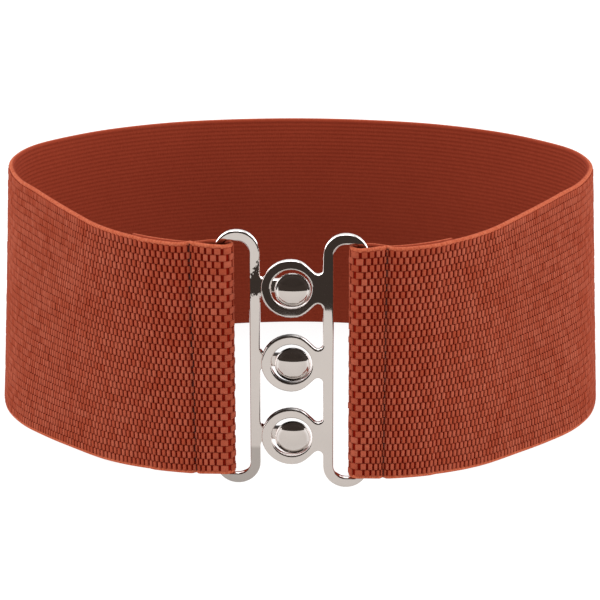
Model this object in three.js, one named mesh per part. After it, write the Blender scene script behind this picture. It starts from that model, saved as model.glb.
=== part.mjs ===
// Elastic stretch belt, standing on its edge as a closed loop: a wide woven elastic band whose two
// ends are folded round the hidden bars of a two-part metal clasp. One clasp plate carries three
// domed studs, the other three eyes that hook over them. Millimetres, +Z up, front towards -Y.
import * as THREE from "three";

// Band
const bandWidth = 76;
const bandWall = 1.8;
const bandEdge = 0.4; // chamfer along both selvedges
const loopHalfWidth = 94; // middle of the wall, at the lower edge
const loopDepth = 157.5; // from the clasp's middle plane to the rear, at the lower edge
const flapLength = 28; // end of the band, turned back inside and sewn down
const seamDistance = 8.1; // from the middle of the fold to the seam that closes it
const flapGap = 0.35; // between the two plies beyond the seam
const narrowing = 50; // stretch over which the band gathers to the clasp's slot
const stationStep = 3.8;

// Clasp
const claspMargin = 4; // the clasp is this much taller than the band is wide
const plateThickness = 2.2;
const plateEdge = 0.6; // rounding of the plates' edges
const barWidth = 3.2;
const slotWidth = 7.2;
const slotCorner = 1.2; // at the hidden bar, where the band's edges run
const loopCentre = 16; // from the line of studs to the middle of each slot
const eyeDiameter = 17.9;
const eyeBore = 12;
const eyeMargin = 16.65; // from the ends of the clasp to the outer eyes, but for the drop
const eyeDrop = 0.5; // the middle eye sits this far below the middle of the clasp
const neckHeight = 9.1;
const neckFillet = 1.4;
const neckFlare = THREE.MathUtils.degToRad(42);
const neckReach = 2.6; // pull of the curve that leads from the neck
const crownReach = 3.5; // and of its end at the crown of the eye
const tabHeight = 4;
const tabFillet = 1.9;
const tabEnd = 7;
const headDiameter = 10.6;
const headRim = 0.8;
const domeDiameter = 9.6;
const domeHeight = 1.8;
const postDiameter = 6;
const studShift = 0.4; // the studs sit off the middle of their eyes, towards the eye plate
const studDrop = 0.25; // and below it

// Clearances
const plateGap = 0.4; // between the two plates, one in front of the other
const seatGap = 0.3; // between a stud's foot and its tab
const foldGap = 0.5; // between the fold and the bar it goes round
const slotGap = 0.5; // between the band's edges and the ends of the slot

// The doubled part of the band, from its fold: lengths in shares of the flap, lean in shares of the
// height. Lean is how far the upper edge stands outside the lower one. Stagger is the share of the
// step between the two plates that the band still follows.
const doubledPart = [
  { along: 0, back: 0, lean: 0.06, stagger: 1 },
  { along: 0.23, back: 0.01, lean: 0.06, stagger: 1 },
  { along: 0.48, back: 0.1, lean: 0.066, stagger: 1 },
  { along: 0.83, back: 0.32, lean: 0.07, stagger: 0.8 },
];

// The rest of one half, from the front to the rear: across in shares of the half width, back in
// shares of the depth.
const openPart = [
  { across: 0.59, back: 0.107, lean: 0.05, stagger: 0.5 },
  { across: 0.71, back: 0.178, lean: 0.0, stagger: 0.3 },
  { across: 0.817, back: 0.245, lean: -0.05, stagger: 0.2 },
  { across: 0.914, back: 0.32, lean: -0.085, stagger: 0.1 },
  { across: 0.978, back: 0.413, lean: -0.065, stagger: 0 },
  { across: 1, back: 0.546, lean: -0.035, stagger: 0 },
  { across: 0.968, back: 0.667, lean: -0.055, stagger: 0 },
  { across: 0.866, back: 0.771, lean: -0.09, stagger: 0 },
  { across: 0.699, back: 0.87, lean: -0.12, stagger: 0 },
  { across: 0.43, back: 0.956, lean: -0.145, stagger: 0 },
];
const rearLean = -0.16;

// Worked out from the sizes above
const claspHeight = bandWidth + claspMargin;
const eyePitch = claspHeight / 2 - eyeMargin;
const loopRadius = slotWidth / 2 + barWidth;
const slotHeight = claspHeight - 2 * barWidth;
const plateStep = plateThickness + plateGap;
const widthAtClasp = slotHeight - 2 * slotGap;
const liftAtClasp = (claspHeight - widthAtClasp) / 2;
const claspLean = Math.asin(doubledPart[0].lean);
const foldRadius = plateThickness / 2 + foldGap + bandWall / 2;
const foldCentre = loopCentre + slotWidth / 2 + foldRadius - bandWall / 2 - foldGap;
const chord = 0.03; // how far a facet may leave its arc

const elastic = new THREE.MeshStandardMaterial({ name: "elastic", color: 0xb4553c, roughness: 0.9 });
const plating = { color: 0xc9c4bd, roughness: 0.12, metalness: 1 };

const smooth = (from, to, value) => THREE.MathUtils.smoothstep(value, from, to);

// Points of an arc, with as many facets as the chord allows.
function arc(x, y, radius, from, to) {
  const facet = 2 * Math.acos(1 - chord / radius);
  const count = Math.max(2, Math.ceil(Math.abs(to - from) / facet));
  return Array.from({ length: count + 1 }, (_, i) => {
    const angle = from + ((to - from) * i) / count;
    return new THREE.Vector2(x + radius * Math.cos(angle), y + radius * Math.sin(angle));
  });
}

const moved = (points, x, y) => points.map((p) => new THREE.Vector2(x + p.x, y + p.y));
const mirrored = (points) => points.map((p) => new THREE.Vector2(-p.x, p.y)).reverse();
const flipped = (points) => points.map((p) => new THREE.Vector2(p.x, -p.y)).reverse();

// Lower and upper edge of an arm are alike, so each arm is its lower edge and a mirrored copy.
const arm = (lowerEdge, end) => [...lowerEdge, ...end, ...flipped(lowerEdge)];

// A narrow tab that ends in a round pad under a stud, from the bar at its left.
function tabOutline() {
  const bar = loopRadius - loopCentre;
  const half = tabHeight / 2;
  const pad = tabEnd / 2;
  const meet = Math.PI - Math.asin(half / pad);
  const fillet = arc(bar + tabFillet, -half - tabFillet, tabFillet, Math.PI, Math.PI / 2);
  return arm(fillet, arc(studShift, 0, pad, -meet, meet));
}

// An eye on a short neck, from the bar at its left.
function eyeOutline() {
  const bar = loopRadius - loopCentre;
  const radius = eyeDiameter / 2;
  const x = bar + neckFillet;
  const y = -neckHeight / 2 - neckFillet;
  const fillet = arc(x, y, neckFillet, Math.PI, Math.PI / 2 - neckFlare);
  const start = fillet.at(-1);
  const blend = new THREE.CubicBezierCurve(
    start,
    new THREE.Vector2(neckReach, 0).rotateAround(new THREE.Vector2(), -neckFlare).add(start),
    new THREE.Vector2(-crownReach, -radius),
    new THREE.Vector2(0, -radius),
  );
  const lowerEdge = [...fillet, ...blend.getPoints(6).slice(1, -1)];
  return arm(lowerEdge, arc(0, 0, radius, -Math.PI / 2, Math.PI / 2));
}

// The slot: wide corners beside the open bar, tight ones beside the hidden bar.
function slotOutline() {
  const half = slotWidth / 2;
  const top = slotHeight / 2;
  const lowerHalf = [
    ...arc(slotCorner - half, slotCorner - top, slotCorner, Math.PI, 1.5 * Math.PI),
    ...arc(0, half - top, half, 1.5 * Math.PI, 2 * Math.PI),
  ];
  return moved([...lowerHalf, ...flipped(lowerHalf)], -loopCentre, 0);
}

const rows = [
  { place: "top", height: eyePitch - eyeDrop },
  { place: "middle", height: -eyeDrop },
  { place: "bottom", height: -eyePitch - eyeDrop },
];

// One plate: a long loop at the left and an arm at each row, cut from sheet and rounded at its edges.
// Side 1 keeps it so, side -1 mirrors it.
function plate(name, side, armOutline, holes) {
  const end = claspHeight / 2 - loopRadius;
  const outline = [
    ...arc(-loopCentre, -end, loopRadius, Math.PI, 2 * Math.PI),
    ...rows.toReversed().flatMap((row) => moved(armOutline, 0, row.height)),
    ...arc(-loopCentre, end, loopRadius, 0, Math.PI),
  ];
  const shape = new THREE.Shape(side > 0 ? outline : mirrored(outline));
  shape.holes = [slotOutline(), ...holes].map(
    (points) => new THREE.Path(side > 0 ? points : mirrored(points)),
  );
  const geometry = new THREE.ExtrudeGeometry(shape, {
    depth: plateThickness - 2 * plateEdge,
    bevelThickness: plateEdge,
    bevelSize: plateEdge,
    bevelOffset: -plateEdge,
    bevelSegments: 2,
  });
  geometry.translate(0, 0, plateEdge - plateThickness / 2);
  const mesh = new THREE.Mesh(geometry, new THREE.MeshStandardMaterial({ name, ...plating }));
  mesh.name = name;
  mesh.position.z = (-side * plateStep) / 2;
  return mesh;
}

function eyeHoles() {
  return rows.map((row) => arc(0, row.height, eyeBore / 2, 0, 2 * Math.PI).slice(0, -1));
}

// A stud: post, flat rim and low dome, turned about its own axis.
function stud(row) {
  const foot = (plateThickness - plateStep) / 2 + seatGap;
  const rimFront = (plateStep + plateThickness) / 2;
  const domeRadius = domeDiameter / 2;
  const bulge = (domeRadius ** 2 + domeHeight ** 2) / (2 * domeHeight);
  const sweep = Math.asin(domeRadius / bulge);
  const dome = arc(0, rimFront + domeHeight - bulge, bulge, Math.PI / 2 - sweep, Math.PI / 2);
  const profile = [
    new THREE.Vector2(0, foot),
    new THREE.Vector2(postDiameter / 2, foot),
    new THREE.Vector2(postDiameter / 2, rimFront - headRim),
    new THREE.Vector2(headDiameter / 2, rimFront - headRim),
    new THREE.Vector2(headDiameter / 2, rimFront),
    ...dome.slice(0, -1),
    new THREE.Vector2(0, rimFront + domeHeight),
  ];
  const geometry = new THREE.LatheGeometry(profile, 28);
  geometry.rotateX(Math.PI / 2);
  const name = `stud_${row.place}`;
  const mesh = new THREE.Mesh(geometry, new THREE.MeshStandardMaterial({ name, ...plating }));
  mesh.name = name;
  mesh.position.set(studShift, row.height - studDrop, 0);
  return mesh;
}

// The clasp stands on the lower ends of its two loops and leans as the band's ends do.
function clasp() {
  const group = new THREE.Group();
  group.add(
    plate("stud_plate", 1, tabOutline(), []),
    plate("ring_plate", -1, eyeOutline(), eyeHoles()),
    ...rows.map(stud),
  );
  group.rotation.x = Math.PI / 2 + claspLean;
  const lowest = new THREE.Box3().setFromObject(group, true).min.z;
  group.position.set(0, -Math.sin(claspLean) * (claspHeight / 2), -lowest);
  return group;
}

// Route of the outer ply from the left fold round the rear to the right fold. The third coordinate
// carries the lean.
function outerRoute() {
  const half = (side) => {
    const step = (-side * plateStep) / 2;
    const doubled = doubledPart.map(
      (row) =>
        new THREE.Vector3(
          side * (foldCentre + row.along * flapLength),
          row.back * flapLength - foldRadius + step * row.stagger,
          row.lean * bandWidth,
        ),
    );
    const open = openPart.map(
      (row) =>
        new THREE.Vector3(
          side * row.across * loopHalfWidth,
          row.back * loopDepth + step * row.stagger,
          row.lean * bandWidth,
        ),
    );
    return [...doubled, ...open];
  };
  const rear = new THREE.Vector3(0, loopDepth, rearLean * bandWidth);
  return new THREE.CatmullRomCurve3([...half(-1), rear, ...half(1).reverse()]);
}

// Stations along the outer ply: place, outward direction, lean, and distance from the nearer fold.
function outerStations() {
  const route = outerRoute();
  const length = route.getLength();
  const count = Math.round(length / stationStep);
  const points = route.getSpacedPoints(count);
  return points.map((point, i) => {
    const before = points[Math.max(i - 1, 0)];
    const after = points[Math.min(i + 1, count)];
    const ahead = new THREE.Vector2(after.x - before.x, after.y - before.y).normalize();
    return {
      place: new THREE.Vector2(point.x, point.y),
      outward: new THREE.Vector2(-ahead.y, ahead.x),
      lean: point.z / bandWidth,
      distance: (Math.min(i, count - i) * length) / count,
    };
  });
}

// The end of the band inside the loop, behind the stations of the outer ply that it is sewn to.
function flapStations(stations) {
  const pastBar = loopCentre + loopRadius + foldGap - foldCentre;
  return stations
    .filter((s) => s.distance > 0 && s.distance <= flapLength)
    .map((s) => {
      const closing = smooth(pastBar, seamDistance, s.distance);
      const apart = THREE.MathUtils.lerp(2 * foldRadius, bandWall + flapGap, closing);
      return { ...s, place: s.place.clone().addScaledVector(s.outward, -apart) };
    });
}

// The half turn round a hidden bar, from the front ply to the flap.
function foldStations(station, side) {
  const steps = 10;
  const middle = station.place.clone().add(new THREE.Vector2(0, foldRadius));
  return Array.from({ length: steps + 1 }, (_, i) => {
    const angle = (Math.PI * i) / steps;
    const place = new THREE.Vector2(
      middle.x - side * foldRadius * Math.sin(angle),
      middle.y - foldRadius * Math.cos(angle),
    );
    return { ...station, place };
  });
}

// The whole strip, from the end of one flap to the end of the other.
function stripStations() {
  const outer = outerStations();
  const middle = Math.floor(outer.length / 2);
  const left = outer.slice(0, middle);
  const right = outer.slice(middle);
  return [
    ...flapStations(left).reverse(),
    ...foldStations(outer[0], -1).reverse(),
    ...outer.slice(1, -1),
    ...foldStations(outer.at(-1), 1),
    ...flapStations(right).reverse(),
  ];
}

// Section of the strip at a station: a tall thin rectangle with its edges taken off.
function section(width) {
  const half = bandWall / 2;
  return [
    [-half, bandEdge],
    [bandEdge - half, 0],
    [half - bandEdge, 0],
    [half, bandEdge],
    [half, width - bandEdge],
    [half - bandEdge, width],
    [bandEdge - half, width],
    [-half, width - bandEdge],
  ];
}

function band() {
  const stations = stripStations();
  const positions = [];
  stations.forEach((station, i) => {
    const before = stations[Math.max(i - 1, 0)].place;
    const after = stations[Math.min(i + 1, stations.length - 1)].place;
    const ahead = after.clone().sub(before).normalize();
    const gather = 1 - smooth(0, narrowing, station.distance);
    const width = THREE.MathUtils.lerp(bandWidth, widthAtClasp, gather);
    const rise = Math.sqrt(1 - station.lean ** 2);
    for (const [out, up] of section(width)) {
      const along = up + gather * liftAtClasp;
      positions.push(
        station.place.x - ahead.y * out + station.outward.x * station.lean * along,
        station.place.y + ahead.x * out + station.outward.y * station.lean * along,
        rise * along,
      );
    }
  });
  const corners = section(bandWidth).length;
  const faces = [];
  const at = (station, corner) => station * corners + (corner % corners);
  for (let i = 0; i < stations.length - 1; i++)
    for (let j = 0; j < corners; j++)
      faces.push(
        ...[at(i, j), at(i, j + 1), at(i + 1, j + 1)],
        ...[at(i, j), at(i + 1, j + 1), at(i + 1, j)],
      );
  const last = stations.length - 1;
  for (let j = 1; j < corners - 1; j++) {
    faces.push(at(0, 0), at(0, j + 1), at(0, j));
    faces.push(at(last, 0), at(last, j), at(last, j + 1));
  }
  const geometry = new THREE.BufferGeometry();
  geometry.setAttribute("position", new THREE.Float32BufferAttribute(positions, 3));
  geometry.setIndex(faces);
  geometry.computeVertexNormals();
  const mesh = new THREE.Mesh(geometry, elastic);
  mesh.name = "band";
  return mesh;
}

// The origin is the middle of the box that holds the belt, on the surface it stands on.
const belt = new THREE.Group();
belt.add(band(), clasp());
const box = new THREE.Box3().setFromObject(belt, true);
const middle = box.getCenter(new THREE.Vector3());
belt.position.set(-middle.x, -middle.y, -box.min.z);

export default belt;
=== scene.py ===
"""Elastic stretch belt: a wide woven elastic band, closed in a loop by a plated clasp of studs and
eyes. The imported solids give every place; this script weaves the band and finishes the metal."""

import math

import bmesh
import bpy
import numpy as np
from mathutils import Matrix, Vector


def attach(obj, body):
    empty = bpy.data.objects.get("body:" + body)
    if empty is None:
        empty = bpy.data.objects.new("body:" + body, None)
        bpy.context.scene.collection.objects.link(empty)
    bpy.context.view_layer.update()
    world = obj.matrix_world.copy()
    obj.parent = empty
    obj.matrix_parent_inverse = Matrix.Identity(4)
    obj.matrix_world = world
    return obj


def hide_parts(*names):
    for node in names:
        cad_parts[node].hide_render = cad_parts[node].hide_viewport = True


MM = 0.001
SAME_POINT = 1e-6  # metres
FACE_ON = 0.9995  # cosine between two directions that count as one
COPLANAR = 0.999  # the same, for the end of the band's solid
STRIP_SAMPLES = 6000

# Band, in millimetres; depths run outwards from the middle of its wall
BAND_WIDTH = 76.0
CORE_FACE = 0.45  # outer face of the ground cloth
INNER_FACE = -0.8
RIB_DEPTH = 0.11  # either side of the inner face
RIB_COUNT = 54
BEAD = 0.78  # half the height of a selvedge
BEAD_DEPTH = 0.9  # half its depth
BEAD_FOOT_INWARD, BEAD_FOOT_RISE = 0.15, 0.1  # where it meets the outer face
LEFT_SEAM, RIGHT_SEAM = 7.45, 5.75  # from the folds
FLAP_END = 22.9  # where the end of the turned-back flap shows through, from the folds

# Low relief of the band, in millimetres: how deep or high it is, and over what length
SEAM_GROOVE, SEAM_GROOVE_REACH = 0.95, 0.7
FOLD_SWELL, FOLD_SWELL_AT, FOLD_SWELL_REACH = 0.6, -4, 3
FLAP_STEP, FLAP_STEP_REACH = 0.45, 0.3
FLAP_RETURN, FLAP_RETURN_REACH = 11, 3  # past the step, where the cloth comes out again
PUCKER, PUCKER_BACK, PUCKER_REACH = 0.6, 1, 3.2  # of the upper edge, just before a seam

# Floats of the weave. In millimetres:
FLOAT_RISE, FLOAT_UNEVEN = 0.5, 0.05  # over the ground cloth
FLOAT_SINK = 0.3  # of its foot into the ground cloth
WEAVE_MARGIN = BEAD * 1.2  # from the edges of the band to the first and the last row
WIDE_COLUMN, WIDE_COLUMN_RANGE, WIDE_SPREAD = 1.8, 0.5, 0.12  # floats spread in wide columns
# In columns and rows:
FLOAT_ROWS = 34
FLOAT_WIDTH = 0.39  # half its foot
FLOAT_CROWN = 0.285  # half its raised middle
FLOAT_ENDS = 1.05  # width of its ends, against the crown
FLOAT_HEIGHT = 0.61  # half its foot
FLOAT_SHOULDER = 0.42  # half its raised middle
CORNER_WIDTH, CORNER_HEIGHT = 0.82, 0.86  # what its cut corners leave of the foot

# Width of a column of floats at distances from each fold: stretched round the bar, crowded at the
# seam, even beyond it, and closing up where the band is slack.
LEFT_COLUMNS = [(-9, 1.8), (-4, 2.35), (0.5, 2.4), (2.8, 1.97), (4.5, 1.65), (6.3, 1.45),
                (7.45, 1.35), (9, 1.65), (11, 1.8), (42, 1.75), (62, 1.3)]
RIGHT_COLUMNS = [(-9, 1.75), (-4, 2.35), (-1.9, 2.3), (0.3, 2.1), (2.3, 1.75), (3.9, 1.4),
                 (5.2, 1.05), (5.75, 0.95), (7.2, 1.5), (8.6, 1.7), (12, 1.73), (40, 1.7), (60, 1.3)]

# Length between sections of the ground cloth, at distances from a fold
SECTION_STEPS = [(-9, 2.4), (-8.5, 0.5), (0, 0.5), (1, 1), (3, 1), (3.6, 0.4), (9.6, 0.4),
                 (10.5, 1), (14, 2.4)]

# Stitches of a seam, in millimetres
STITCH_COUNT = 24
STITCH_LENGTH, STITCH_RADIUS, STITCH_ROUND = 2.4, 0.3, 0.2
STITCH_MARGIN = 2  # from the edges of the band to the first and the last
STITCH_RISE = 0.25  # over the ground cloth
STITCH_SWAY, STITCH_SWAY_RATE = 0.12, 1.7

# Clasp, in millimetres along a stud's own axis
CLASP_LEAN = math.asin(0.06)
FACING = Vector((0, -math.cos(CLASP_LEAN), -math.sin(CLASP_LEAN)))
STUD_TOP = 4.2
STUD_FOOT = 0.1
RIM_FRONT = 2.4
RIM_BACK = 1.6
RIM_RADIUS = 5.3
RIM_ROUND = 0.3  # of the rim's back edge
RIM_CHAMFER = ((0.05, 0.45), (0.16, 0.26), (0.35, 0.07))  # in from the rim, back from its front
DOME_RADIUS = 4.75
DOME_TRIM = 0.1  # kept off the edge of the dome
DOME_STEPS = 16
POST_RADIUS = 3.0
TURN_STEPS = 72

# Where the plating of the clasp differs, in metres across and up
LEFT_BAR = -0.008  # the stud plate's bar lies left of here
SHADED_END = (0.0112, 0.0126)  # its lower end is darker: painted shade
EYES_FROM = -0.009  # the eyes lie right of here
PAINTED_DARK_TOP, PAINTED_DARK_FOOT = (0.051, 0.054), (0.010, 0.013)  # heights of the two lower eyes, whose upper edges carry a painted dark reflection
PAINTED_DARK_SIDE = (-0.002, 0.004)  # the painted dark reflection fades towards the neck
DENT_FOOT, DENT_TOP, DENT_SLOPE = (0.0601, 0.0656), (0.0907, 0.0937), -1.78
RING_BAR = (0.0050, 0.0072)  # the ring plate's bar starts here

# How far the shading of each piece is tipped to the floor
STUD_PLATE_TIP, DENT_TIP, RING_BAR_TIP = 0.12, 0.11, 0.008
STUD_TIPS = {"top": 0.095, "middle": 0.17, "bottom": 0.24}

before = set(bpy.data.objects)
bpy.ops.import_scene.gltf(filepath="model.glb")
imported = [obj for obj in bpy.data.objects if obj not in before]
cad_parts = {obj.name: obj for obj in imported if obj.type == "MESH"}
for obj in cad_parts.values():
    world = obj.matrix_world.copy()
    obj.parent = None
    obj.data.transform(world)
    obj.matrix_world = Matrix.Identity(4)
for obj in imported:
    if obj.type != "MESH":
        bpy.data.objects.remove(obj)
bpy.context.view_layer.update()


class Socket:
    """A node's output, so that shader maths reads as arithmetic."""

    def __init__(self, material, output):
        self.material, self.output = material, output

    def _maths(self, operation, *values, **settings):
        return self.material.node("ShaderNodeMath", values, operation=operation, **settings)

    def __add__(self, other):
        return self._maths("ADD", self, other)

    def __mul__(self, other):
        return self._maths("MULTIPLY", self, other)

    def __sub__(self, other):
        return self._maths("SUBTRACT", self, other)

    def __rsub__(self, other):
        return self._maths("SUBTRACT", other, self)

    def __gt__(self, other):
        return self._maths("GREATER_THAN", self, other)

    def __lt__(self, other):
        return self._maths("LESS_THAN", self, other)

    __radd__ = __add__
    __rmul__ = __mul__

    def sine(self):
        return self._maths("SINE", self)

    def between(self, low, high, start=0.0, end=1.0):
        """This value carried smoothly from low..high to start..end."""
        return self.material.node(
            "ShaderNodeMapRange",
            {"Value": self, "From Min": low, "From Max": high, "To Min": start, "To Max": end},
            interpolation_type="SMOOTHSTEP",
        )


class Material:
    """A procedural material; its shader is a Principled BSDF."""

    def __init__(self, name, **constants):
        self.data = bpy.data.materials.new(name)
        self.data.use_nodes = True
        self.tree = self.data.node_tree
        self.shader = self.tree.nodes["Principled BSDF"]
        self.set(**constants)

    def _put(self, socket, value):
        if isinstance(value, Socket):
            self.tree.links.new(value.output, socket)
        elif hasattr(value, "__len__") and socket.type == "RGBA":
            socket.default_value = (*value[:3], 1.0)
        else:
            socket.default_value = value

    def node(self, kind, inputs=(), output=0, **settings):
        made = self.tree.nodes.new(kind)
        for name, value in settings.items():
            setattr(made, name, value)
        pairs = inputs.items() if isinstance(inputs, dict) else enumerate(inputs)
        for name, value in pairs:
            self._put(made.inputs[name], value)
        return Socket(self, made.outputs[output])

    def set(self, **values):
        for name, value in values.items():
            self._put(self.shader.inputs[name.replace("_", " ")], value)

    def mix(self, share, first, second):
        """From the first colour to the second by a share."""
        node = self.tree.nodes.new("ShaderNodeMix")
        node.data_type = "RGBA"
        self._put(node.inputs[0], share)
        self._put(node.inputs[6], first)
        self._put(node.inputs[7], second)
        return Socket(self, node.outputs[2])

    def attribute(self, name, part="Fac"):
        return self.node("ShaderNodeAttribute", output=part, attribute_name=name)

    def split(self, vector):
        """The three parts of a vector."""
        parts = self.node("ShaderNodeSeparateXYZ", [vector]).output.node.outputs
        return [Socket(self, part) for part in parts]

    def noise(self, vector, scale, detail=2.0, roughness=0.5):
        return self.node(
            "ShaderNodeTexNoise",
            {"Vector": vector, "Scale": scale, "Detail": detail, "Roughness": roughness},
        )

    def lean(self, share):
        """Tips the shading towards the floor by a share, or away from it where that is negative."""
        normal = self.node("ShaderNodeNewGeometry", output="Normal")
        turn = self.node("ShaderNodeCombineXYZ", [0.0, 0.0, share])
        tipped = self.node("ShaderNodeVectorMath", [normal, turn], operation="SUBTRACT")
        self.set(Normal=self.node("ShaderNodeVectorMath", [tipped], operation="NORMALIZE"))

    def bump(self, height, strength, distance):
        self.set(
            Normal=self.node(
                "ShaderNodeBump",
                {"Height": height, "Strength": strength, "Distance": distance},
            )
        )


def finished(name, mesh, material):
    """A piece of the belt at the origin, with its material, riding on the frame."""
    piece = bpy.data.objects.new(name, mesh)
    bpy.context.scene.collection.objects.link(piece)
    mesh.materials.clear()
    mesh.materials.append(material.data)
    mesh.shade_smooth()
    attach(piece, "root")
    return piece


# Shape of the strip


class Strip:
    """The band's middle surface, read from its solid: a lower and an upper edge line, and the
    outward normal, along the length from the end of the left flap to the end of the right one."""

    def __init__(self, node):
        lower, upper = self._edges(node)
        middle = (lower + upper) / 2
        known = np.concatenate([[0], np.cumsum(np.linalg.norm(np.diff(middle, axis=0), axis=1))])
        self.length = known[-1]
        self.along = np.linspace(0, self.length, STRIP_SAMPLES)
        self.lower = self._smooth(known, lower)
        self.upper = self._smooth(known, upper)
        ahead = np.gradient((self.lower + self.upper) / 2, self.along, axis=0)
        self.ahead = ahead / np.linalg.norm(ahead, axis=1)[:, None]
        self.rise = self.upper - self.lower
        normal = np.cross(self.rise, self.ahead)
        self.normal = normal / np.linalg.norm(normal, axis=1)[:, None]
        # Just outside each fold the cloth runs straight leftwards.
        leftward = self.ahead[:, 0] < -FACE_ON
        self.left_fold = self.along[np.argmax(leftward)]
        self.right_fold = self.along[len(leftward) - 1 - np.argmax(leftward[::-1])]

    def _edges(self, node):
        """The middles of the band's lower and upper edge at each section of its solid. The walk
        starts from the flat end of the left flap, known by the nine edges at a corner, and takes
        one ring of points after another."""
        solid = bmesh.new()
        solid.from_mesh(node.data)
        bmesh.ops.remove_doubles(solid, verts=solid.verts, dist=SAME_POINT)
        corner = min((v for v in solid.verts if len(v.link_edges) == 9), key=lambda v: v.co.x)
        end = max(
            ([g for g in corner.link_faces if g.normal.dot(f.normal) > COPLANAR]
             for f in corner.link_faces),
            key=len,
        )
        ring, seen = {v for f in end for v in f.verts}, set()
        lower, upper = [], []
        while ring:
            heights = sorted((v.co for v in ring), key=lambda c: c.z)
            lower.append((heights[0] + heights[1]) / 2 / MM)
            upper.append((heights[-1] + heights[-2]) / 2 / MM)
            seen |= ring
            ring = {e.other_vert(v) for v in ring for e in v.link_edges} - seen
        solid.free()
        return np.array(lower), np.array(upper)

    def _smooth(self, known, points):
        """A cubic through the points, with the slopes of their neighbours."""
        slopes = np.gradient(points, known, axis=0)
        i = np.clip(np.searchsorted(known, self.along) - 1, 0, len(known) - 2)
        span = known[i + 1] - known[i]
        t = ((self.along - known[i]) / span)[:, None]
        span = span[:, None]
        return (
            (1 + 2 * t) * (1 - t) ** 2 * points[i]
            + t * (1 - t) ** 2 * span * slopes[i]
            + t * t * (3 - 2 * t) * points[i + 1]
            + t * t * (t - 1) * span * slopes[i + 1]
        )

    def from_folds(self, along):
        """Distance past the nearer fold, negative on the flap."""
        return np.minimum(along - self.left_fold, self.right_fold - along)

    def relief(self, along, across):
        """How far the cloth stands out of its plain surface, and how far its upper edge rises."""
        past = self.from_folds(along)
        seam = np.where(along < self.length / 2, LEFT_SEAM, RIGHT_SEAM)
        groove = -SEAM_GROOVE * np.exp(-(((past - seam) / SEAM_GROOVE_REACH) ** 2))
        swell = FOLD_SWELL * np.exp(-(((past - FOLD_SWELL_AT) / FOLD_SWELL_REACH) ** 4))
        flap = FLAP_STEP / (1 + np.exp(-(past - FLAP_END - FLAP_RETURN) / FLAP_RETURN_REACH))
        flap -= FLAP_STEP / (1 + np.exp(-(past - FLAP_END) / FLAP_STEP_REACH))
        pucker = PUCKER * np.exp(-(((past - seam + PUCKER_BACK) / PUCKER_REACH) ** 2))
        return groove + flap + swell, pucker * np.clip(across, 0, 1) ** 6

    def place(self, along, across, proud):
        """Points of the cloth, in metres: along it, a share of its width, and out from its middle."""
        def at(table):
            return np.stack([np.interp(along, self.along, table[:, k]) for k in range(3)], axis=1)

        out, up = self.relief(along, across)
        rise = at(self.rise)
        unit = rise / np.linalg.norm(rise, axis=1)[:, None]
        point = at(self.lower) + rise * across[:, None] + unit * up[:, None]
        return (point + at(self.normal) * (proud + out)[:, None]) * MM


def lay(mesh, strip, along, across, proud):
    """Bends a flat mesh onto the strip, and keeps its flat places for the material."""
    places = strip.place(along, across, proud)
    mesh.vertices.foreach_set("co", places.astype(np.float32).ravel())
    flat = np.stack([along, across * BAND_WIDTH, proud], axis=1)
    kept = mesh.attributes.new("cloth", "FLOAT_VECTOR", "POINT")
    kept.data.foreach_set("vector", flat.astype(np.float32).ravel())
    mesh.flip_normals()  # along, up and outwards on the strip are the mirror image of the flat axes
    mesh.update()


def coordinates(mesh):
    flat = np.zeros(len(mesh.vertices) * 3, np.float32)
    mesh.vertices.foreach_get("co", flat)
    return flat.reshape(-1, 3).astype(float)


def core_sections(strip):
    """Lengths along the strip at which the ground cloth has a section: closer together where it
    turns round a bar or dips at a seam."""
    past = strip.from_folds(strip.along)
    step = np.interp(past, *zip(*SECTION_STEPS))
    count = np.concatenate([[0], np.cumsum(np.diff(strip.along) / step[1:])])
    steps = math.ceil(count[-1])
    return np.interp(np.linspace(0, count[-1], steps + 1), count, strip.along)


def core(strip):
    """The ground cloth: a flat section with ribs on its inner face and a bead along both
    selvedges, swept along the strip and closed at its ends."""
    sections = core_sections(strip)
    bm = bmesh.new()
    reach = BAND_WIDTH - 2 * BEAD
    points = []
    for share in np.linspace(0, 1, RIB_COUNT * 4 + 1):
        wave = math.cos(2 * math.pi * RIB_COUNT * share)
        points.append((BEAD + reach * share, INNER_FACE - RIB_DEPTH * wave))
    angles = np.radians([-62, -30, 0, 30, 62])
    bead = [(BEAD * math.cos(a), BEAD_DEPTH * math.sin(a)) for a in angles]
    foot = BEAD + BEAD_FOOT_INWARD
    points += [(BAND_WIDTH - BEAD + y, z) for y, z in bead]
    points += [(BAND_WIDTH - foot, CORE_FACE + BEAD_FOOT_RISE), (BAND_WIDTH - 2 * BEAD, CORE_FACE)]
    points += [(BAND_WIDTH / 2, CORE_FACE)]
    points += [(2 * BEAD, CORE_FACE), (foot, CORE_FACE + BEAD_FOOT_RISE)]
    points += [(BEAD - y, z) for y, z in reversed(bead)]
    ring = [bm.verts.new((0, y, z)) for y, z in points]
    edges = [bm.edges.new((ring[i - 1], ring[i])) for i in range(len(ring))]
    bmesh.ops.spin(
        bm, geom=ring + edges, cent=(0, 0, 0), axis=(0, 1, 0), dvec=(1, 0, 0), angle=0,
        steps=len(sections) - 1, use_duplicate=False,
    )
    for end in (0, len(sections) - 1):
        rim = [e for e in bm.edges if e.is_boundary and abs(e.verts[0].co.x - end) < 0.5]
        bmesh.ops.edgeloop_fill(bm, edges=rim)
    bmesh.ops.recalc_face_normals(bm, faces=bm.faces)
    mesh = bpy.data.meshes.new("band_core")
    bm.to_mesh(mesh)
    bm.free()
    flat = coordinates(mesh)
    along = np.interp(flat[:, 0], np.arange(len(sections)), sections)
    lay(mesh, strip, along, flat[:, 1] / BAND_WIDTH, flat[:, 2])
    return mesh


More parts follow.
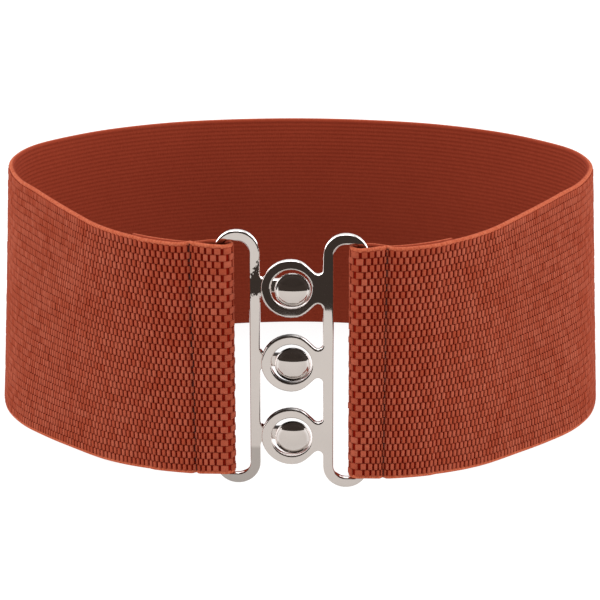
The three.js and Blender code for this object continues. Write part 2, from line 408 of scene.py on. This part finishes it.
def column_places(strip):
    """How many columns of floats come before each place along the strip."""
    along = strip.along
    left = np.interp(along - strip.left_fold, *zip(*LEFT_COLUMNS))
    right = np.interp(strip.right_fold - along, *zip(*RIGHT_COLUMNS))
    width = np.where(along < strip.length / 2, left, right)
    return np.concatenate([[0], np.cumsum(np.diff(along) / width[1:])])


def float_unit():
    """Two neighbouring floats of the weave, half a column apart, as closed pillows. One column is
    one unit long, one row one unit high."""
    outer = 0.4  # a point of the grid that is further out lies on its rim
    bm = bmesh.new()
    for row in range(2):
        made = bmesh.ops.create_grid(bm, x_segments=3, y_segments=3, size=0.5)["verts"]
        rim = [v for v in made if max(abs(v.co.x), abs(v.co.y)) > outer]
        for v in made:
            edge_x, edge_y = abs(v.co.x) > outer, abs(v.co.y) > outer
            x = FLOAT_WIDTH if edge_x else FLOAT_CROWN * (FLOAT_ENDS if edge_y else 1)
            y = FLOAT_HEIGHT if edge_y else FLOAT_SHOULDER
            if edge_x and edge_y:
                x, y = x * CORNER_WIDTH, y * CORNER_HEIGHT
            v.co = (math.copysign(x, v.co.x), math.copysign(y, v.co.y), 0 if v in rim else 1)
        bmesh.ops.edgeloop_fill(bm, edges=[e for e in bm.edges if e.is_boundary])
        bmesh.ops.translate(bm, verts=made, vec=(0.5 + row / 2, 0.5 + row, 0))
    bmesh.ops.recalc_face_normals(bm, faces=bm.faces)
    mesh = bpy.data.meshes.new("float_unit")
    bm.to_mesh(mesh)
    bm.free()
    return mesh


def repeated(unit, *rows):
    """A new mesh of copies of a unit, in rows that each have an offset and a count."""
    piece = bpy.data.objects.new("repeated", unit)
    bpy.context.scene.collection.objects.link(piece)
    for offset, count in rows:
        array = piece.modifiers.new("array", "ARRAY")
        array.use_relative_offset = False
        array.use_constant_offset = True
        array.constant_offset_displace = offset
        array.count = count
    bpy.context.view_layer.update()
    graph = bpy.context.evaluated_depsgraph_get()
    mesh = bpy.data.meshes.new_from_object(piece.evaluated_get(graph))
    bpy.data.objects.remove(piece)
    return mesh


def woven(name, strip, unit, first, last, columns):
    """One stretch of the weave, from one column to another."""
    mesh = repeated(unit, ((1, 0, 0), last - first), ((0, 2, 0), FLOAT_ROWS // 2))
    mesh.name = name
    flat = coordinates(mesh)
    per_float = len(unit.vertices) // 2
    floats = len(flat) // per_float
    middle = flat[:, 0].reshape(floats, per_float).mean(axis=1) + first
    ends = [np.interp(middle + half, columns, strip.along) for half in (0.5, -0.5)]
    wide = np.clip((ends[0] - ends[1] - WIDE_COLUMN) / WIDE_COLUMN_RANGE, 0, 1)
    spread = np.repeat(1 + WIDE_SPREAD * wide, per_float)
    middle = np.repeat(middle, per_float)
    along = np.interp(middle + (flat[:, 0] + first - middle) * spread, columns, strip.along)
    height = BAND_WIDTH - 2 * WEAVE_MARGIN
    across = (WEAVE_MARGIN + flat[:, 1] / FLOAT_ROWS * height) / BAND_WIDTH
    draw = np.random.default_rng(first + 7)
    rise = np.repeat(FLOAT_RISE + FLOAT_UNEVEN * draw.standard_normal(floats), per_float)
    lay(mesh, strip, along, across, CORE_FACE - FLOAT_SINK + flat[:, 2] * (FLOAT_SINK + rise))
    tone = mesh.attributes.new("tone", "FLOAT", "POINT")
    values = np.repeat(draw.random(floats), per_float)
    tone.data.foreach_set("value", values.astype(np.float32))
    return mesh


def stitches(strip, at):
    """A row of lockstitches down the groove of one seam, a little uneven."""
    bm = bmesh.new()
    bmesh.ops.create_cone(
        bm, cap_ends=True, segments=6, radius1=STITCH_RADIUS, radius2=STITCH_RADIUS,
        depth=STITCH_LENGTH, matrix=Matrix.Rotation(math.pi / 2, 4, "X"),
    )
    ends = [e for e in bm.edges if abs(e.verts[0].co.y - e.verts[1].co.y) < 0.1]
    bmesh.ops.bevel(
        bm, geom=ends, offset=STITCH_ROUND, offset_type="OFFSET", affect="EDGES", segments=2,
        profile=0.5, material=-1,
    )
    stitch = bpy.data.meshes.new("stitch")
    bm.to_mesh(stitch)
    bm.free()
    pitch = (BAND_WIDTH - 2 * STITCH_MARGIN) / (STITCH_COUNT - 1)
    row = repeated(stitch, ((0, pitch, 0), STITCH_COUNT))
    bpy.data.meshes.remove(stitch)
    flat = coordinates(row)
    along = at + flat[:, 0] + STITCH_SWAY * np.sin(flat[:, 1] * STITCH_SWAY_RATE)
    across = (flat[:, 1] + STITCH_MARGIN) / BAND_WIDTH
    lay(row, strip, along, across, flat[:, 2] + CORE_FACE + STITCH_RISE)
    return row


# Metal


def plate(node, name, material):
    """A plate of the clasp: its solid, shaded flat on its faces and round along its edges."""
    bm = bmesh.new()
    bm.from_mesh(node.data)
    bmesh.ops.remove_doubles(bm, verts=bm.verts, dist=SAME_POINT)
    bm.normal_update()
    normals = []
    for v in bm.verts:
        flat = [f for f in v.link_faces if abs(f.normal.dot(FACING)) > FACE_ON]
        total = sum((f.normal * f.calc_area() for f in flat or v.link_faces), Vector())
        normals.append(total.normalized())
    mesh = bpy.data.meshes.new(name)
    bm.to_mesh(mesh)
    bm.free()
    piece = finished(name, mesh, material)
    mesh.normals_split_custom_set_from_vertices(normals)
    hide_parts(node.name)
    return piece


def stud(node, name, material):
    """A domed stud, turned on the axis of its solid."""
    crown = max((v.co for v in node.data.vertices), key=lambda c: c.dot(FACING))
    depth = STUD_TOP - RIM_FRONT
    ball = (DOME_RADIUS**2 + depth**2) / (2 * depth)  # radius of the dome
    sweep = math.asin((DOME_RADIUS - DOME_TRIM) / ball)
    profile = [(0, STUD_FOOT), (POST_RADIUS, STUD_FOOT), (POST_RADIUS, RIM_BACK)]
    for angle in np.radians([-90, -60, -30, 0]):
        radius = RIM_RADIUS - RIM_ROUND * (1 - math.cos(angle))
        profile.append((radius, RIM_BACK + RIM_ROUND * (1 + math.sin(angle))))
    for inward, back in RIM_CHAMFER:
        profile.append((RIM_RADIUS - inward, RIM_FRONT - back))
    for i in range(DOME_STEPS + 1):
        angle = sweep * (1 - i / DOME_STEPS)
        profile.append((ball * math.sin(angle), STUD_TOP - ball * (1 - math.cos(angle))))
    bm = bmesh.new()
    line = [bm.verts.new((r * MM, 0, z * MM)) for r, z in profile]
    edges = [bm.edges.new(pair) for pair in zip(line, line[1:])]
    bmesh.ops.spin(
        bm, geom=line + edges, cent=(0, 0, 0), axis=(0, 0, 1), angle=2 * math.pi,
        steps=TURN_STEPS, use_merge=True, use_duplicate=False,
    )
    bmesh.ops.remove_doubles(bm, verts=bm.verts, dist=SAME_POINT)
    bmesh.ops.recalc_face_normals(bm, faces=bm.faces)
    turn = Matrix.Rotation(math.pi / 2 + CLASP_LEAN, 4, "X")
    move = Matrix.Translation(crown - FACING * STUD_TOP * MM)
    bmesh.ops.transform(bm, matrix=move @ turn, verts=bm.verts)
    mesh = bpy.data.meshes.new(name)
    bm.to_mesh(mesh)
    bm.free()
    piece = finished(name, mesh, material)
    shading = piece.modifiers.new("flat faces", "WEIGHTED_NORMAL")
    shading.weight = 100
    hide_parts(node.name)
    return piece


# Materials


def float_material():
    """Raised floats: rust orange yarn, each a little different, with fine filaments across and
    painted shade towards their feet.
    """
    m = Material("rust_floats", Roughness=0.85, Specular_IOR_Level=0.03)
    cloth = m.attribute("cloth", "Vector")
    across_yarn = m.node("ShaderNodeVectorMath", [cloth, (1, 9, 1)], operation="MULTIPLY")
    filaments = m.noise(across_yarn, 1.4, 2)
    patches = m.noise(cloth, 0.05, 2)
    light = m.attribute("tone") * 0.2 + filaments * 0.4 + patches * 0.25 + 0.07
    yarn = m.mix(light.between(0.1, 0.9), (0.222, 0.0245, 0.0065), (0.375, 0.095, 0.055))
    proud = m.split(cloth)[2]
    # Painted shade: each float darkens towards its foot, where it sinks into the ground cloth.
    m.set(Base_Color=m.mix(proud.between(0.4, 0.95), (0.13, 0.004, 0.0005), yarn))
    m.bump(filaments, 0.3, 0.0002)
    return m


def ground_material():
    """Ground cloth: dark red with painted shade between the floats, brown red and ribbed inside with
    painted shade across the ribs, paler selvedges.
    """
    m = Material("ground_cloth", Roughness=0.88, Specular_IOR_Level=0.04)
    place = m.attribute("cloth", "Vector")
    _, across, proud = m.split(place)
    # Painted shade across the ribs: one flank of each rib of the mesh lighter, the other darker.
    painted_rib_shade = (across * (2 * math.pi * RIB_COUNT / (BAND_WIDTH - 2 * BEAD)) - BEAD * 4.6).sine()
    fine = m.noise(m.node("ShaderNodeVectorMath", [place, (4, 1, 1)], operation="MULTIPLY"), 0.9, 3)
    patches = m.noise(place, 0.03, 2)
    tone_and_rib_shade = fine * 0.4 + painted_rib_shade * 0.07 + patches * 0.2 + 0.125
    inside = m.mix(tone_and_rib_shade.between(0.05, 0.85), (0.164, 0.0205, 0.0088), (0.278, 0.0435, 0.0205))
    # The outer face shows only between the floats: the cloth's dark red, deepened by painted shade.
    outside = m.mix(fine, (0.1, 0.002, 0.0004), (0.2, 0.007, 0.001))
    cloth = m.mix(proud.between(-0.3, 0.1), inside, outside)
    edge = (across < BEAD * 1.5) + (across > BAND_WIDTH - BEAD * 1.5)
    thread = m.mix(fine.between(0.3, 0.7), (0.32, 0.058, 0.025), (0.45, 0.118, 0.06))
    m.set(Base_Color=m.mix(edge * proud.between(-0.6, 0.1), cloth, thread))
    m.bump(fine, 0.4, 0.0003)
    return m


def thread_material():
    """Sewing thread of the seams, darker than the floats, with a twist."""
    m = Material("seam_thread", Roughness=0.7, Specular_IOR_Level=0.15)
    along, across, _ = m.split(m.attribute("cloth", "Vector"))
    twist = ((across + along * 2.0) * 9).sine()
    m.set(Base_Color=m.mix(twist.between(-1, 1), (0.03, 0.006, 0.005), (0.08, 0.016, 0.014)))
    m.bump(twist, 0.4, 0.0001)
    return m


def plating_material(name, tip=0.0):
    """Polished nickel plating, a little uneven, with a painted highlight on its edges, painted shade
    on the lower end of the stud plate's bar, and a painted dark reflection on the upper edges of the
    two lower eyes. A piece that is not quite straight has its shading tipped."""
    m = Material(name, Metallic=1.0)
    place = m.node("ShaderNodeTexCoord", output="Object")
    wear = m.noise(place, 90, 3)
    face = m.mix(wear, (0.48, 0.435, 0.4), (0.53, 0.478, 0.443))
    turned = m.node("ShaderNodeNewGeometry", output="True Normal")
    facing = m.node(
        "ShaderNodeVectorMath", [turned, FACING], output="Value", operation="DOT_PRODUCT"
    )
    edges = facing.between(0.68, 0.86, 1.0, 0.0)
    upward = m.split(turned)[2].between(0.45, 0.6)
    x, _, height = m.split(place)
    # Painted shade on the lower end of the stud plate's bar.
    shaded = height.between(*SHADED_END, 1.0, 0.0) * (x < LEFT_BAR)
    face = m.mix(shaded, face, (0.35, 0.315, 0.288))
    # Painted dark reflection: the upward-facing edges of the two lower eyes are painted near black.
    painted_dark_edge = edges * upward * height.between(*PAINTED_DARK_TOP, 1.0, 0.0) * height.between(*PAINTED_DARK_FOOT)
    painted_dark_edge = painted_dark_edge * x.between(*PAINTED_DARK_SIDE, 1.0, 0.35) * (x > EYES_FROM)
    # Painted highlight: the rounded edges get a much lighter colour, for bright rims.
    painted_edge_highlight = m.mix(edges, face, (0.95, 0.9, 0.88))
    m.set(
        Base_Color=m.mix(painted_dark_edge, painted_edge_highlight, (0.03, 0.026, 0.024)),
        Roughness=wear.between(0.2, 0.8, 0.02, 0.045),
    )
    if tip:
        m.lean(tip)
    return m


def wavy_plating_material(name):
    """The same plating on the stud plate, whose face is tipped and has a dent in its bar."""
    m = plating_material(name)
    place = m.node("ShaderNodeTexCoord", output="Object")
    streaks = m.node("ShaderNodeVectorMath", [place, (2300, 0, 1000)], operation="MULTIPLY")
    x, _, height = m.split(place)
    rippled = height + m.noise(streaks, 1, 3) * 0.009
    dent = rippled.between(*DENT_FOOT)
    dent = dent * (1.0 - (rippled + x * DENT_SLOPE).between(*DENT_TOP))
    m.lean(STUD_PLATE_TIP - dent * DENT_TIP)
    return m


def ring_plating_material(name):
    """The same plating on the ring plate, whose bar is tipped a little to the floor."""
    m = plating_material(name)
    place = m.node("ShaderNodeTexCoord", output="Object")
    m.lean(m.split(place)[0].between(*RING_BAR, 0.0, RING_BAR_TIP))
    return m


# The belt

strip = Strip(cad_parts["band"])
ground = finished("band_core", core(strip), ground_material())
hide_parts("band")
columns = column_places(strip)
total = int(columns[-1]) - 1
unit = float_unit()
floats = float_material()
third = total // 3
stretches = (
    ("weave_left", 0, third),
    ("weave_rear", third, 2 * total // 3),
    ("weave_right", 2 * total // 3, total),
)
cloth = [
    finished(name, woven(name, strip, unit, first, last, columns), floats)
    for name, first, last in stretches
]
bpy.data.meshes.remove(unit)
thread = thread_material()
for side, at in (("left", strip.left_fold + LEFT_SEAM), ("right", strip.right_fold - RIGHT_SEAM)):
    cloth.append(finished(f"stitches_{side}", stitches(strip, at), thread))
wavy, ring_plating = wavy_plating_material("wavy_plating"), ring_plating_material("ring_plating")
plate(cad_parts["stud_plate"], "stud_plate_finish", wavy)
plate(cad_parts["ring_plate"], "ring_plate_finish", ring_plating)
for row, tip in STUD_TIPS.items():
    plating = plating_material(f"{row}_plating", tip)
    stud(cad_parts[f"stud_{row}"], f"stud_{row}_finish", plating)

# Camera, floor and light

scene = bpy.context.scene
scene.view_settings.view_transform = "Standard"
# The camera as fitted to the photo
target = Vector((0.2, 0.0, 34.0)) * MM
azimuth, elevation, distance = math.radians(1.68), math.radians(17.59), 1.051
toward = Vector(
    (
        math.sin(azimuth) * math.cos(elevation),
        -math.cos(azimuth) * math.cos(elevation),
        math.sin(elevation),
    )
)
eye = bpy.data.cameras.new("camera")
eye.sensor_width = 36
eye.lens = 3320 / 600 * eye.sensor_width  # 3320 pixels, in a picture 600 wide
eye.clip_end = 20
camera = bpy.data.objects.new("camera", eye)
camera.location = target + toward * distance
camera.rotation_euler = (-toward).to_track_quat("-Z", "Y").to_euler()
scene.collection.objects.link(camera)
scene.camera = camera


def stage_piece(name, bm, colour, glow=0.0):
    """A piece of the studio, of one plain colour."""
    mesh = bpy.data.meshes.new(name)
    bm.to_mesh(mesh)
    bm.free()
    piece = bpy.data.objects.new(name, mesh)
    scene.collection.objects.link(piece)
    paint = Material(name, Base_Color=colour, Roughness=0.9, Specular_IOR_Level=0.0)
    paint.set(Emission_Color=(1.0, 1.0, 1.0), Emission_Strength=glow)
    mesh.materials.append(paint.data)
    return piece


ground_plane = bmesh.new()
bmesh.ops.create_grid(ground_plane, x_segments=1, y_segments=1, size=3)
stage_piece("floor", ground_plane, (0.2, 0.2, 0.2), glow=0.9)

# The studio in front is dark, as the studs and the top ring mirror it: a round light patch of floor,
# and black beyond it and up to the lamp.
patch_radius, wall_radius, wall_height, clear_of_floor = 0.1215, 1.3, 2.5, 0.001
dark = bmesh.new()
corners = (
    (-patch_radius, 0, clear_of_floor),
    (-wall_radius, 0, clear_of_floor),
    (-wall_radius, 0, wall_height),
)
edge = [dark.verts.new(place) for place in corners]
lines = [dark.edges.new(pair) for pair in zip(edge, edge[1:])]
bmesh.ops.spin(
    dark, geom=edge + lines, cent=(0, 0, 0), axis=(0, 0, 1), angle=math.radians(146), steps=90,
    use_duplicate=False,
)
turn = Matrix.Rotation(math.radians(17), 3, "Z")
bmesh.ops.rotate(dark, cent=(0, 0, 0), matrix=turn, verts=dark.verts)
bmesh.ops.translate(dark, verts=dark.verts, vec=(0, -0.075, 0))
surround = stage_piece("dark_surround", dark, (0.045, 0.037, 0.033))

# Bright panels at both sides, which the rounded edges of the metal mirror.
panels = bmesh.new()
for side in (-1, 1):
    made = bmesh.ops.create_grid(panels, x_segments=1, y_segments=1, size=0.5)["verts"]
    bmesh.ops.scale(panels, vec=(1.6, 2.4, 1), verts=made)
    turn = Matrix.Rotation(side * math.radians(15), 4, "Z") @ Matrix.Rotation(math.pi / 2, 4, "Y")
    move = Matrix.Translation((side * wall_radius, 0.7, 0.8))
    bmesh.ops.transform(panels, matrix=move @ turn, verts=made)
bright = stage_piece("bright_panels", panels, (0.8, 0.8, 0.8), glow=2.0)

# Only mirrored light meets either of them.
for piece in (surround, bright):
    piece.visible_camera = piece.visible_diffuse = piece.visible_shadow = False
    piece.visible_transmission = piece.visible_volume_scatter = False

world = bpy.data.worlds.new("studio")
scene.world = world
world.use_nodes = True
world.node_tree.nodes["Background"].inputs[0].default_value = (1.0, 0.99, 0.98, 1)
world.node_tree.nodes["Background"].inputs[1].default_value = 0.9


def softbox(name, place, aim, size, power):
    data = bpy.data.lights.new(name, "AREA")
    data.shape, data.size, data.energy = "SQUARE", size, power
    lamp = bpy.data.objects.new(name, data)
    lamp.location = place
    lamp.rotation_euler = (Vector(aim) - Vector(place)).to_track_quat("-Z", "Y").to_euler()
    scene.collection.objects.link(lamp)
    return lamp


softbox("overhead", (-0.1, 0.3, 1.6), (0, 0, 0.03), 1.4, 15)
softbox("side_left", (-1.6, -0.5, 0.5), (0, 0, 0.04), 0.9, 17).visible_glossy = False
softbox("side_right", (1.6, -0.5, 0.5), (0, 0, 0.04), 0.9, 19).visible_glossy = False
